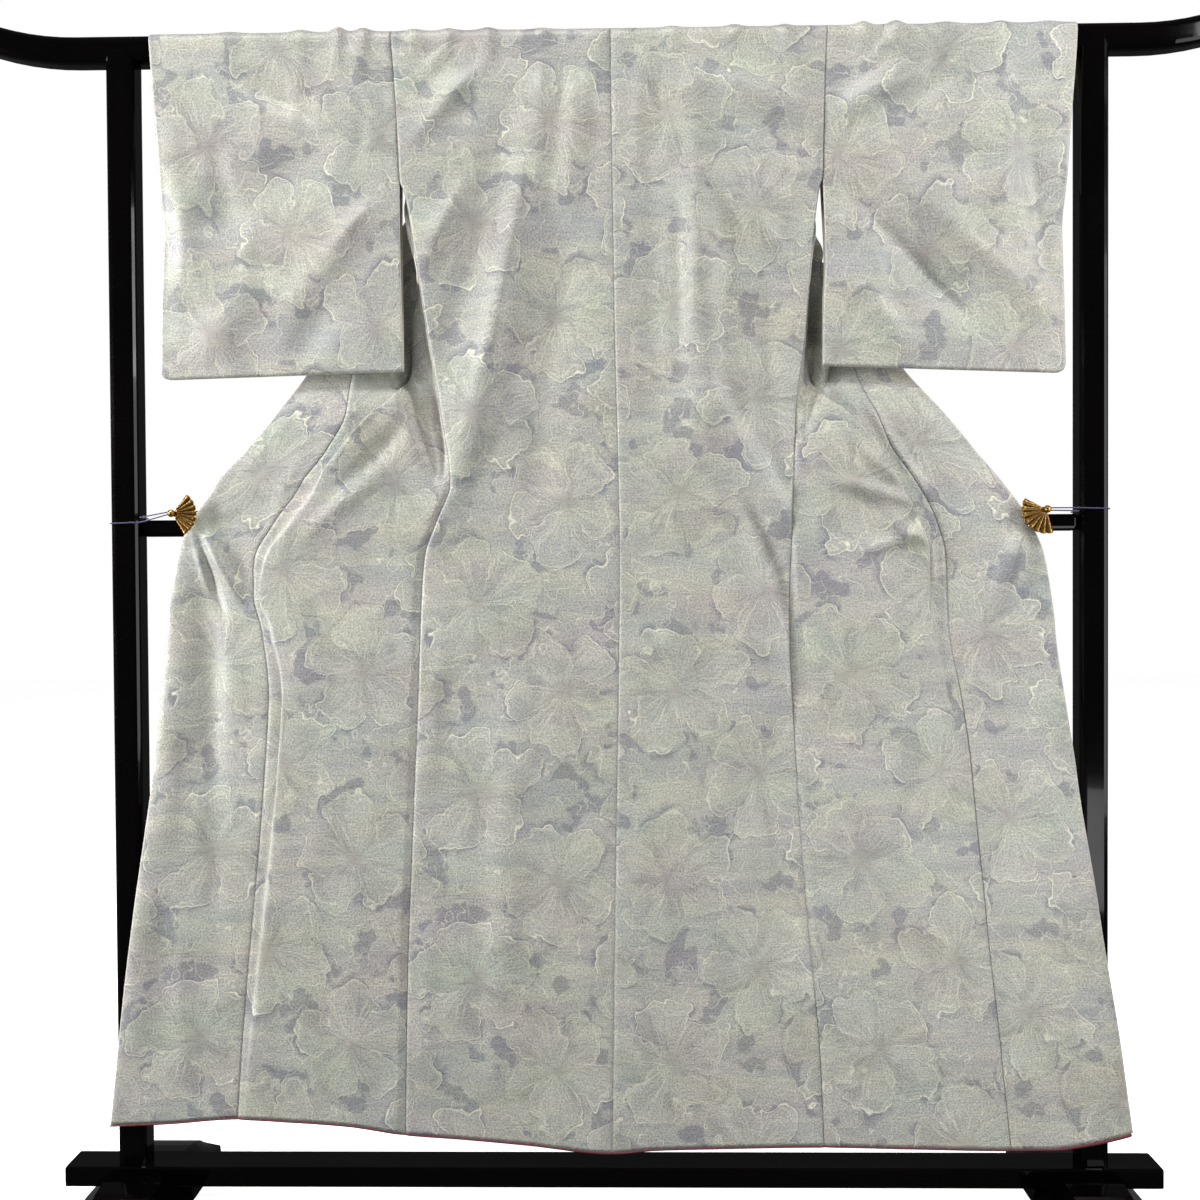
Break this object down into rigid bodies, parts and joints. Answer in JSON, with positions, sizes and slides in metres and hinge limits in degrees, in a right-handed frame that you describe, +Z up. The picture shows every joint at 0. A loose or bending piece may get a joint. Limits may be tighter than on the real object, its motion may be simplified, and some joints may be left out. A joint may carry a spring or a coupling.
{
  "type": "silk kimono on a lacquered kimono stand",
  "caption": "Silk kimono hung open, its back outward, on a black lacquered stand; two gilt fan clips and cords hold its front edges.",
  "frame": {"origin": "on the floor under the middle of the stand, at the middle of the feet front to back", "axes": "+X to the viewer's right along the top bar, -Y towards the viewer (the kimono's back faces -Y), +Z up"},
  "size_m": [1.879, 0.28, 1.6767],
  "materials": {
    "silver_grey_silk": "lined figured silk, soft sheen",
    "wine_red_lining": "plain silk lining edge",
    "black_lacquer": "black lacquered wood, high gloss",
    "antique_gilt_brass": "aged gilding",
    "dark_violet_cord": "braided cord"
  },
  "bodies": {
    "root": {"body_left": "silver_grey_silk", "body_right": "silver_grey_silk", "overlap_left": "silver_grey_silk", "overlap_right": "silver_grey_silk", "sleeve_left": "silver_grey_silk", "sleeve_right": "silver_grey_silk", "collar": "silver_grey_silk", "hem_edge": "wine_red_lining", "top_bar": "black_lacquer", "post_left": "black_lacquer", "post_right": "black_lacquer", "mid_rail": "black_lacquer", "base_beam": "black_lacquer", "foot_left": "black_lacquer", "foot_right": "black_lacquer", "clip_left": "antique_gilt_brass", "clip_right": "antique_gilt_brass", "jaw_left": "antique_gilt_brass", "jaw_right": "antique_gilt_brass", "clip_cord_left": "dark_violet_cord", "clip_cord_right": "dark_violet_cord"}
  },
  "joints": []
}
